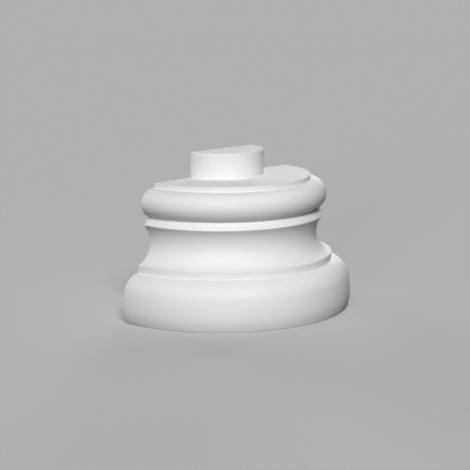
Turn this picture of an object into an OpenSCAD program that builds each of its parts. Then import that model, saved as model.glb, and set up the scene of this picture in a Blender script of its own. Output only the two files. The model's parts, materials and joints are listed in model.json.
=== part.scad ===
// Half-round base for a half column that stands against a wall.
// It is one moulding, turned about the column's axis and cut flat at the wall.
// From the floor up: foot torus, step, hollow, slanted band, ring torus, seat, spigot.
// The axis is Z, the floor is z = 0, the wall is the plane y = 0, the front faces -Y.

/* [Seat for the shaft] */
// Diameter of the flat seat that the shaft stands on
seat_d = 240; // [200:1:300]
// Height of the upright lip around the seat
lip_h = 7; // [3:0.5:12]
// Diameter of the spigot that fills the foot of the shaft
spigot_d = 113; // [80:1:160]
// Height of the spigot above the seat
spigot_h = 34.5; // [20:0.5:60]

/* [Ring torus] */
// Height of the ring, which is its thickness too
ring_h = 38; // [28:0.5:48]
// How far the ring stands out past the seat
ring_out = 22; // [20:0.5:32]

/* [Slanted band] */
// Height of the band, from its edge up to the level of the ring's underside
band_h = 8.5; // [6:0.5:14]
// How far the band's edge stands out past the seat
band_out = 17.5; // [14:0.5:22]
// How far the band leans in over its height
band_lean = 7; // [3:0.5:9]
// Height of the upright arris at the band's edge
arris_h = 1; // [0.5:0.1:2]

/* [Hollow] */
// Height of the hollow, from the step up to the arris
hollow_h = 51; // [42:0.5:64]
// Height of the hollow's throat, its narrowest level, above the step
throat_h = 27; // [22:0.5:34]
// How far the throat stands out past the seat
throat_out = 8.5; // [4:0.5:12]

/* [Step] */
// Height of the upright step on the foot
step_h = 10; // [6:0.5:16]
// How far the step stands out past the seat
step_out = 29; // [25:0.5:35]

/* [Foot torus] */
// Height of the foot
foot_h = 64.5; // [55:0.5:80]
// How far the foot's widest line stands out past the seat
foot_out = 55; // [50:0.5:66]
// Radius of the foot's rounded shoulder
shoulder_r = 28; // [24:0.5:32]
// Radius of the long curve down the foot's flank
flank_r = 110; // [90:1:150]
// Height of the foot's widest line above the floor
belly_h = 20.5; // [15:0.5:24]
// How far the foot draws in again at the floor
tuck = 4; // [1:0.5:6]

/* [Edges] */
// Rounding of the step's and the lip's edges
edge_r = 0.8; // [0.4:0.1:2]
// Rounding of the spigot's top edge
spigot_edge_r = 2; // [0.5:0.1:4]
// Small flat left where the hollow runs out against an edge
quirk = 0.2; // [0.2:0.1:0.6]

/* [Hidden] */
$fn = 192;

// Radii of the members
seat_r = seat_d / 2;
spigot_r = spigot_d / 2;
ring_r = seat_r + ring_out;
band_r = seat_r + band_out;
throat_r = seat_r + throat_out;
step_r = seat_r + step_out;
foot_r = seat_r + foot_out;

// Levels of the members, each the underside of the one it names
step_z = foot_h;
hollow_z = step_z + step_h;
arris_z = hollow_z + hollow_h;
band_z = arris_z + arris_h;
ring_z = band_z + band_h;
lip_z = ring_z + ring_h;
seat_z = lip_z + lip_h;
top_z = seat_z + spigot_h;

// Cutters and clipping slabs reach past what they cut by this much
cut_margin = 5;

// Arc radii and centres are kept to a hundredth, so that neighbouring arcs meet exactly
function to_hundredth(x) = round(100 * x) / 100;

// Radius of the arc that starts upright and moves sideways by run over a given rise
function arc_radius(run, rise) = to_hundredth((run * run + rise * rise) / (2 * run));

// The foot's flank and shoulder meet smoothly, with their centres on one line.
// The shoulder's centre is rounded outwards, so that its arc never falls short of the flank's.
shoulder_z = foot_h - shoulder_r;
centre_rise = shoulder_z - belly_h;
centre_gap = flank_r - shoulder_r;
centre_run = sqrt(centre_gap * centre_gap - centre_rise * centre_rise);
shoulder_x = ceil(100 * (foot_r - flank_r + centre_run)) / 100;
flank_top = to_hundredth(belly_h + centre_rise * flank_r / centre_gap);

// Half section of a disc with its upper edge rounded
module disc_section(r, h, edge) {
    square([r - edge, h]);
    square([r, h - edge]);
    translate([r - edge, h - edge]) circle(edge);
}

// Half section whose side starts upright at the throat and sweeps out to out_r
module flare_section(out_r, h) {
    arc_r = arc_radius(out_r - throat_r, h);
    difference() {
        square([throat_r + arc_r, h]);
        translate([throat_r + arc_r, 0]) circle(arc_r);
    }
}

// Half section of one arc of the foot's outline, kept between two levels
module foot_arc_section(centre_x, centre_z, arc_r, low, high) {
    intersection() {
        translate([0, low]) square([foot_r + cut_margin, high - low]);
        translate([centre_x, centre_z]) circle(arc_r);
    }
}

// The foot: a torus flattened on its outside, drawn in a little at the floor
module foot_section() {
    tuck_r = arc_radius(tuck, belly_h);
    square([shoulder_x, foot_h]);
    foot_arc_section(foot_r - tuck_r, belly_h, tuck_r, 0, belly_h);
    foot_arc_section(foot_r - flank_r, belly_h, flank_r, belly_h, flank_top);
    foot_arc_section(shoulder_x, shoulder_z, shoulder_r, belly_h, foot_h + cut_margin);
}

// The step carries on down inside the foot, so that no gap opens under it
module step_section() {
    translate([0, shoulder_z]) square([step_r, foot_h - shoulder_z]);
    translate([0, step_z]) disc_section(step_r, step_h, edge_r);
}

// The hollow: two arcs of different radius that meet upright at the throat
module hollow_section() {
    translate([0, hollow_z + throat_h]) {
        flare_section(band_r - quirk, hollow_h - throat_h);
        mirror([0, 1]) flare_section(step_r - edge_r - quirk, throat_h);
    }
}

// The band: an upright arris, then a slope that carries on up into the ring
module band_section() {
    translate([0, arris_z]) square([band_r, arris_h]);
    buried_h = band_h + ring_h / 2;
    buried_r = band_r - band_lean * buried_h / band_h;
    translate([0, band_z]) polygon([[0, 0], [band_r, 0], [buried_r, buried_h], [0, buried_h]]);
}

// The ring: a true half-round torus
module ring_section() {
    translate([0, ring_z]) square([ring_r - ring_h / 2, ring_h]);
    translate([ring_r - ring_h / 2, ring_z + ring_h / 2]) circle(ring_h / 2);
}

// The seat with its lip, and the spigot that stands on it
module seat_section() {
    translate([0, lip_z]) disc_section(seat_r, lip_h, edge_r);
    translate([0, seat_z]) disc_section(spigot_r, spigot_h, spigot_edge_r);
}

// Everything behind the wall plane
module behind_wall() {
    reach = foot_r + cut_margin;
    translate([-reach, 0, -cut_margin]) cube([2 * reach, reach, top_z + 2 * cut_margin]);
}

// The turning starts straight behind the wall plane, so the back cut takes its seam away
module half_column_base() {
    color("whitesmoke")
    difference() {
        rotate([0, 0, 90]) rotate_extrude() {
            foot_section();
            step_section();
            hollow_section();
            band_section();
            ring_section();
            seat_section();
        }
        behind_wall();
    }
}

half_column_base();
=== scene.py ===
import json
from math import atan2, cos, hypot, pi, radians, sin, sqrt

import bpy
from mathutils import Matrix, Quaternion, Vector


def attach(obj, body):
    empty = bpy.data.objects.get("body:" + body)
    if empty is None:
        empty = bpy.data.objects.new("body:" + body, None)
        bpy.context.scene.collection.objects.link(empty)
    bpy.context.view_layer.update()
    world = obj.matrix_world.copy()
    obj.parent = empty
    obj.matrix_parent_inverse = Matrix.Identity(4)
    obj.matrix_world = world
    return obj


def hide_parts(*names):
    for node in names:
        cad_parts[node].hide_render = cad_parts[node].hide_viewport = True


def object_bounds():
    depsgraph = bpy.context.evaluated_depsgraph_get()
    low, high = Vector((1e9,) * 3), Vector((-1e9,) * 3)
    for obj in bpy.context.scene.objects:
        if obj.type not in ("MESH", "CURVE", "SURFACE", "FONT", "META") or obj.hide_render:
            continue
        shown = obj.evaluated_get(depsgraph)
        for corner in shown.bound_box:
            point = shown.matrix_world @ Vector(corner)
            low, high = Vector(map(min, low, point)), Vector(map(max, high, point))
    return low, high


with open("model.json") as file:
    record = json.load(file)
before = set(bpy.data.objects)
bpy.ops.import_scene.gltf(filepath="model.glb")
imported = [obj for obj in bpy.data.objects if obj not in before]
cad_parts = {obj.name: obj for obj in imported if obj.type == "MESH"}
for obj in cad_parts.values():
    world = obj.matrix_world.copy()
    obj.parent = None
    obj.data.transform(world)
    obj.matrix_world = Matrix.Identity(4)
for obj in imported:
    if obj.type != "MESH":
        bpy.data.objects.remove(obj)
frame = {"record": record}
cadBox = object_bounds()
cadLow, cadHigh = cadBox
mounts = {mount["name"]: Vector(mount["pos_m"]) for mount in frame["record"]["mounts"]}
tiny = 1e-6                                      # closer than this counts as the same place
near = 2e-5                                      # room for error when a corner is looked up
print("frame loaded, size", [round(side, 4) for side in cadHigh - cadLow])


def deselectAll():
    if bpy.context.mode != "OBJECT":
        bpy.ops.object.mode_set(mode="OBJECT")
    bpy.ops.object.select_all(action="DESELECT")


def pickVerts(piece, wanted):
    # goes to edit mode with only the vertices that pass the test selected
    bpy.ops.object.mode_set(mode="EDIT")
    bpy.ops.mesh.select_mode(type="VERT")
    bpy.ops.mesh.select_all(action="DESELECT")
    bpy.ops.object.mode_set(mode="OBJECT")
    for vertex in piece.data.vertices:
        vertex.select = wanted(vertex.co)
    bpy.ops.object.mode_set(mode="EDIT")


def pickEdges(piece, wanted):
    # the same for edges, where both ends have to pass
    bpy.ops.object.mode_set(mode="EDIT")
    bpy.ops.mesh.select_mode(type="EDGE")
    bpy.ops.mesh.select_all(action="DESELECT")
    bpy.ops.object.mode_set(mode="OBJECT")
    verts = piece.data.vertices
    for edge in piece.data.edges:
        edge.select = all(wanted(verts[end].co) for end in edge.vertices)
    bpy.ops.object.mode_set(mode="EDIT")


# the moulding, named from the top down; every "out" is past the edge of the seat
moulding = {
    "spigotRadius": 0.0565,
    "lipHeight": 0.007,                          # upright edge of the seat
    "ringOut": 0.022, "ringHeight": 0.038,
    "bandOut": 0.0175, "bandHeight": 0.0085, "bandLean": 0.007, "arrisHeight": 0.001,
    "hollowHeight": 0.051, "throatOut": 0.0085, "throatHeight": 0.027,
    "stepOut": 0.029, "stepHeight": 0.010, "stepTread": 0.001,
    "footOut": 0.055, "shoulderRadius": 0.028, "flankRadius": 0.110,
    "bellyHeight": 0.0205, "tuck": 0.004,
    "arcSegment": 0.0014, "footSegment": 0.0026,  # facets along the section
    "fewestFacets": 6,                           # in any one arc
    "turnSteps": 216,                            # facets round the half circle
    "backBevel": 0.0003, "backFacets": 2,        # the sharp edges all round the back
    "smoothAngle": 32,                           # in degrees; sharper edges stay crisp
}
softness = {                                     # how far each corner of the section is rounded
    "spigotTop": 0.0020, "spigotFoot": 0.0012, "seatEdge": 0.0010, "lipFoot": 0.0007,
    "groove": 0.0006, "arris": 0.0004, "stepEdge": 0.0008, "stepFoot": 0.0004,
    "floorEdge": 0.0006, "facets": 4,
}

topZ = cadHigh.z
seatZ = mounts["shaft_seat"].z
lipZ = seatZ - moulding["lipHeight"]
ringZ = lipZ - moulding["ringHeight"]
bandZ = ringZ - moulding["bandHeight"]
arrisZ = bandZ - moulding["arrisHeight"]
treadZ = arrisZ - moulding["hollowHeight"]       # top of the step
throatZ = treadZ + moulding["throatHeight"]
footZ = treadZ - moulding["stepHeight"]

footRadius = cadHigh.x
seatRadius = footRadius - moulding["footOut"]
bandRadius = seatRadius + moulding["bandOut"]
throatRadius = seatRadius + moulding["throatOut"]
stepRadius = seatRadius + moulding["stepOut"]
floorRadius = footRadius - moulding["tuck"]
spigotRadius = moulding["spigotRadius"]
tubeRadius = moulding["ringHeight"] / 2          # the ring is a half-round tube
tubeX = seatRadius + moulding["ringOut"] - tubeRadius
tubeZ = ringZ + tubeRadius
# the section starts and ends a little inside its first and last corner
topRim = spigotRadius - 2 * softness["spigotTop"]
floorRim = floorRadius - 3 * softness["floorEdge"]

tip = {"x": 0.0, "z": 0.0}                       # how far the section has got


def startAt(x, z):
    deselectAll()
    bpy.ops.mesh.primitive_plane_add(size=0.01, location=(x, 0, z))  # any size will do
    bpy.ops.object.transform_apply(location=True, rotation=False, scale=False)
    bpy.ops.object.mode_set(mode="EDIT")
    bpy.ops.mesh.select_mode(type="VERT")
    bpy.ops.mesh.select_all(action="SELECT")
    bpy.ops.mesh.merge(type="CENTER")            # one point is left to draw with
    tip.update(x=x, z=z)
    return bpy.context.object


def lineTo(x, z):
    step = (x - tip["x"], 0, z - tip["z"])
    bpy.ops.mesh.extrude_region_move(TRANSFORM_OT_translate={"value": step})
    tip.update(x=x, z=z)


def arcTo(x, z, centreX, centreZ, facet):
    start = atan2(tip["z"] - centreZ, tip["x"] - centreX)
    end = atan2(z - centreZ, x - centreX)
    sweep = (end - start + pi) % (2 * pi) - pi   # the short way round
    length = abs(sweep) * hypot(x - centreX, z - centreZ)
    steps = max(moulding["fewestFacets"], round(length / facet))
    bpy.ops.mesh.spin(steps=steps, angle=sweep, center=(centreX, 0, centreZ), axis=(0, 1, 0))
    tip.update(x=x, z=z)


def flareRadius(run, rise):
    return (run * run + rise * rise) / (2 * run)  # of an arc that starts upright


def ringMeetsBand():
    # the band's slope, carried up until it touches the ring
    lean = moulding["bandLean"] / moulding["bandHeight"]
    offX, offZ = bandRadius - tubeX, bandZ - tubeZ
    a = 1 + lean * lean
    b = offZ - lean * offX
    c = offX * offX + offZ * offZ - tubeRadius * tubeRadius
    rise = (-b - sqrt(b * b - a * c)) / a
    return bandRadius - lean * rise, bandZ + rise


def softenCorner(section, x, z, size):
    pickVerts(section, lambda co: abs(co.x - x) < near and abs(co.z - z) < near)
    bpy.ops.mesh.bevel(affect="VERTICES", offset=size, offset_type="OFFSET",
                       segments=softness["facets"], profile=0.5)


def drawSection():
    facet, footFacet = moulding["arcSegment"], moulding["footSegment"]
    section = startAt(topRim, topZ)
    lineTo(spigotRadius, topZ)
    lineTo(spigotRadius, seatZ)
    lineTo(seatRadius, seatZ)
    lineTo(seatRadius, lipZ)
    lineTo(tubeX, lipZ)

    meetX, meetZ = ringMeetsBand()
    arcTo(meetX, meetZ, tubeX, tubeZ, facet)     # ring
    lineTo(bandRadius, bandZ)                    # slanted band
    lineTo(bandRadius, arrisZ)

    # two arcs of different radius make the hollow
    upper = flareRadius(bandRadius - throatRadius, arrisZ - throatZ)
    arcTo(throatRadius, throatZ, throatRadius + upper, throatZ, facet)
    treadX = stepRadius - moulding["stepTread"]
    lower = flareRadius(treadX - throatRadius, throatZ - treadZ)
    arcTo(treadX, treadZ, throatRadius + lower, throatZ, facet)
    lineTo(stepRadius, treadZ)

    # shoulder, flank and tuck of the foot run smoothly into one another
    shoulder, flank = moulding["shoulderRadius"], moulding["flankRadius"]
    belly = moulding["bellyHeight"]
    shoulderZ = footZ - shoulder
    rise, gap = shoulderZ - belly, flank - shoulder
    run = sqrt(gap * gap - rise * rise)
    shoulderX = footRadius - flank + run
    stepFootZ = shoulderZ + sqrt(shoulder ** 2 - (stepRadius - shoulderX) ** 2)
    lineTo(stepRadius, stepFootZ)
    arcTo(shoulderX + shoulder * run / gap, shoulderZ + shoulder * rise / gap,
          shoulderX, shoulderZ, facet)
    arcTo(footRadius, belly, footRadius - flank, belly, footFacet)
    tuckX = footRadius - flareRadius(moulding["tuck"], belly)
    arcTo(floorRadius, 0, tuckX, belly, footFacet)
    lineTo(floorRim, 0)
    print("section drawn")

    corners = [
        (spigotRadius, topZ, "spigotTop"), (spigotRadius, seatZ, "spigotFoot"),
        (seatRadius, seatZ, "seatEdge"), (seatRadius, lipZ, "lipFoot"),
        (meetX, meetZ, "groove"), (bandRadius, bandZ, "arris"), (bandRadius, arrisZ, "arris"),
        (stepRadius, treadZ, "stepEdge"), (stepRadius, stepFootZ, "stepFoot"),
        (floorRadius, 0, "floorEdge"),
    ]
    for x, z, name in corners:
        softenCorner(section, x, z, softness[name])
    print("corners softened")
    return section


def turnSection(piece):
    bpy.ops.mesh.select_all(action="SELECT")
    bpy.ops.mesh.spin(steps=moulding["turnSteps"], angle=pi, center=(0, 0, 0), axis=(0, 0, 1))
    bpy.ops.mesh.select_all(action="SELECT")
    bpy.ops.mesh.remove_doubles(threshold=tiny)
    print("section turned through a half circle")


def closeEnd(piece, z, rimRadius):
    # a straight edge along the wall, then one flat face
    def onRim(co):
        return abs(co.z - z) < tiny and abs(hypot(co.x, co.y) - rimRadius) < near
    pickVerts(piece, lambda co: onRim(co) and abs(co.y) < tiny)
    bpy.ops.mesh.edge_face_add()
    pickVerts(piece, onRim)
    bpy.ops.mesh.edge_face_add()


def closeBack(piece):
    pickEdges(piece, lambda co: abs(co.y) < tiny)
    bpy.ops.mesh.edge_face_add()
    bpy.ops.mesh.select_all(action="SELECT")
    bpy.ops.mesh.normals_make_consistent(inside=False)
    pickEdges(piece, lambda co: abs(co.y) < tiny)
    bpy.ops.mesh.bevel(affect="EDGES", offset=moulding["backBevel"], offset_type="OFFSET",
                       segments=moulding["backFacets"], profile=0.5, clamp_overlap=False)
    bpy.ops.object.mode_set(mode="OBJECT")
    print("underside, top and back closed")


def shadeMoulding(piece):
    bpy.ops.object.shade_smooth_by_angle(angle=radians(moulding["smoothAngle"]))
    bpy.ops.object.modifier_add(type="WEIGHTED_NORMAL")  # keeps flats flat up to their edges
    weighted = piece.modifiers[-1]
    weighted.keep_sharp = True
    bpy.ops.object.modifier_apply(modifier=weighted.name)


baseMoulding = drawSection()
baseMoulding.name = "base_moulding"
turnSection(baseMoulding)
closeEnd(baseMoulding, topZ, topRim)
closeEnd(baseMoulding, 0, floorRim)
closeBack(baseMoulding)
shadeMoulding(baseMoulding)
print("moulding finished with", len(baseMoulding.data.polygons), "faces")

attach(baseMoulding, "root")
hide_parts("half_column_base")


# a satin primer over foam: nearly even white, rawer on the back and the underside
primer = {
    "white": (0.821, 0.819, 0.820, 1), "shade": (0.791, 0.790, 0.792, 1),
    "rawWhite": (0.78, 0.775, 0.755, 1), "rawShade": (0.72, 0.714, 0.692, 1),
    "roughLow": 0.54, "roughHigh": 0.68, "rawRoughness": 0.88, "gloss": 0.4,
    "waveDepth": 0.00006, "skinDepth": 0.000012, "cellDepth": 0.00012,
    "cellScale": 520.0,
    "rawBand": 0.0004,                           # how far round the edge the raw face reaches
    "mottleRange": (0.36, 0.64), "softRange": (0.3, 0.7),
    # the noise patterns
    "mottle":   {"Scale": 13.0,  "Detail": 5.0, "Roughness": 0.6},
    "speckles": {"Scale": 650.0, "Detail": 2.0, "Roughness": 0.5},
    "satin":    {"Scale": 27.0,  "Detail": 4.0, "Roughness": 0.5},
    "wave":     {"Scale": 34.0,  "Detail": 2.0, "Roughness": 0.5},
    "skin":     {"Scale": 420.0, "Detail": 3.0, "Roughness": 0.5},
}


def addNode(tree, kind, x, y, inputs=None, **settings):
    node = tree.nodes.new(kind)
    node.location = (x, y)
    for name, value in settings.items():
        setattr(node, name, value)
    for name, value in (inputs or {}).items():
        node.inputs[name].default_value = value
    return node


def makePrimer():
    material = bpy.data.materials.new("white_primer")
    material.use_nodes = True
    tree = material.node_tree
    link = tree.links.new
    shader = tree.nodes["Principled BSDF"]
    shader.inputs["Specular IOR Level"].default_value = primer["gloss"]
    place = addNode(tree, "ShaderNodeTexCoord", -1600, 0)
    axes = addNode(tree, "ShaderNodeSeparateXYZ", -1400, -420)
    link(place.outputs["Object"], axes.inputs[0])

    def noise(name, y):
        node = addNode(tree, "ShaderNodeTexNoise", -1200, y, primer[name])
        link(place.outputs["Object"], node.inputs["Vector"])
        return node.outputs["Fac"]

    def spread(value, x, y, low, high, toLow=0.0, toHigh=1.0):
        node = addNode(tree, "ShaderNodeMapRange", x, y, {
            "From Min": low, "From Max": high, "To Min": toLow, "To Max": toHigh})
        link(value, node.inputs["Value"])
        return node.outputs["Result"]

    def blendTones(factor, x, y, first, second):
        node = addNode(tree, "ShaderNodeMix", x, y, data_type="RGBA")
        link(factor, node.inputs["Factor"])
        for socket, tone in ((node.inputs[6], first), (node.inputs[7], second)):
            if isinstance(tone, tuple):
                socket.default_value = tone
            else:
                link(tone, socket)
        return node.outputs[2]

    def calc(kind, first, second, x, y):
        node = addNode(tree, "ShaderNodeMath", x, y, operation=kind)
        for socket, value in zip(node.inputs, (first, second)):
            if isinstance(value, float):
                socket.default_value = value
            else:
                link(value, socket)
        return node.outputs[0]

    # 1 on the back and the underside, 0 on what shows
    back = spread(axes.outputs["Y"], -1200, -420, -primer["rawBand"], -primer["rawBand"] / 4)
    under = spread(axes.outputs["Z"], -1200, -680, primer["rawBand"], primer["rawBand"] / 4)
    raw = calc("MAXIMUM", back, under, -1000, -520)

    mottle = spread(noise("mottle", 300), -1000, 300, *primer["mottleRange"])
    speckles = spread(noise("speckles", 60), -1000, 60, *primer["softRange"])
    front = blendTones(calc("MULTIPLY", mottle, speckles, -800, 200), -600, 240,
                       primer["white"], primer["shade"])
    rawTone = blendTones(mottle, -600, 0, primer["rawWhite"], primer["rawShade"])
    link(blendTones(raw, -380, 160, front, rawTone), shader.inputs["Base Color"])

    satin = spread(noise("satin", -180), -1000, -180, *primer["softRange"],
                   primer["roughLow"], primer["roughHigh"])
    roughMix = addNode(tree, "ShaderNodeMix", -600, -200, {"B": primer["rawRoughness"]})
    link(raw, roughMix.inputs["Factor"])
    link(satin, roughMix.inputs["A"])
    link(roughMix.outputs["Result"], shader.inputs["Roughness"])

    # long soft waves from the mould, the fine skin of the primer, open cells on the raw faces
    cells = addNode(tree, "ShaderNodeTexVoronoi", -1200, -1180, {"Scale": primer["cellScale"]})
    link(place.outputs["Object"], cells.inputs["Vector"])
    rawCells = calc("MULTIPLY", cells.outputs["Distance"], raw, -800, -1180)
    layers = (
        (noise("wave", -900), primer["waveDepth"]),
        (noise("skin", -1040), primer["skinDepth"]),
        (rawCells, primer["cellDepth"]),
    )
    before = None
    for number, (height, depth) in enumerate(layers):
        bump = addNode(tree, "ShaderNodeBump", -600 + 200 * number, -900,
                       {"Strength": 1.0, "Distance": depth})
        link(height, bump.inputs["Height"])
        if before:
            link(before.outputs["Normal"], bump.inputs["Normal"])
        before = bump
    link(before.outputs["Normal"], shader.inputs["Normal"])
    return material


baseMoulding.data.materials.append(makePrimer())
print("primer finish made")


# a plain pale floor in a pale surround
stageSet = {
    "floorSize": 80.0, "floorTone": (0.60, 0.60, 0.595, 1), "floorRoughness": 0.9,
    "surroundTone": (0.46, 0.46, 0.455, 1), "surroundStrength": 1.0,
    "lampDistance": 3.0,
}
deselectAll()
bpy.ops.mesh.primitive_plane_add(size=stageSet["floorSize"], location=(0, 0, 0))
floor = bpy.context.object
floor.name = "floor"
floorPaint = bpy.data.materials.new("pale_floor")
floorPaint.use_nodes = True
floorShader = floorPaint.node_tree.nodes["Principled BSDF"]
floorShader.inputs["Base Color"].default_value = stageSet["floorTone"]
floorShader.inputs["Roughness"].default_value = stageSet["floorRoughness"]
floorShader.inputs["Specular IOR Level"].default_value = 0.0
floor.data.materials.append(floorPaint)
floor.visible_diffuse = False                    # throws no light back up under the mouldings

studio = bpy.data.worlds.new("studio")
bpy.context.scene.world = studio
studio.use_nodes = True
surround = studio.node_tree.nodes["Background"]
surround.inputs["Color"].default_value = stageSet["surroundTone"]
surround.inputs["Strength"].default_value = stageSet["surroundStrength"]
studio.cycles_visibility.diffuse = False         # shows past the floor, but lights nothing
studio.cycles_visibility.glossy = False

camera = {"turn": 42.4, "height": 10.9, "roll": -0.23, "distance": 2.165, "lens": 121.05,
          "aim": (0.0128, -0.0117, 0.0946)}

# soft lamps: turn is counted from the camera, positive to its right
lamps = {
    "key":      {"turn": 6,    "height": 38, "angle": 24, "strength": 2.90},
    "lowFill":  {"turn": -16,  "height": 9,  "angle": 12, "strength": 0.37},
    "backHigh": {"turn": 158,  "height": 40, "angle": 28, "strength": 0.36},
    "backLow":  {"turn": 171,  "height": 6,  "angle": 14, "strength": 0.70},
    "leftRim":  {"turn": -112, "height": 6,  "angle": 12, "strength": 0.19},
    "backRim":  {"turn": -145, "height": 6,  "angle": 20, "strength": 1.10},
}


def directionOf(turn, height):
    turn, height = radians(turn), radians(height)
    return Vector((-sin(turn) * cos(height), -cos(turn) * cos(height), sin(height)))


for name, lamp in lamps.items():
    fromThere = directionOf(camera["turn"] - lamp["turn"], lamp["height"])
    bpy.ops.object.light_add(type="SUN", location=fromThere * stageSet["lampDistance"])
    light = bpy.context.object
    light.name = name
    light.rotation_euler = (-fromThere).to_track_quat("-Z", "Y").to_euler()
    light.data.angle = radians(lamp["angle"])
    light.data.energy = lamp["strength"]

toward = directionOf(camera["turn"], camera["height"])
bpy.ops.object.camera_add(location=Vector(camera["aim"]) + toward * camera["distance"])
eye = bpy.context.object
eye.rotation_mode = "QUATERNION"
upright = (-toward).to_track_quat("-Z", "Y")
eye.rotation_quaternion = Quaternion(toward, radians(camera["roll"])) @ upright
eye.data.lens = camera["lens"]
bpy.context.scene.camera = eye
bpy.context.scene.view_settings.view_transform = "Standard"
print("floor, lamps and camera set")
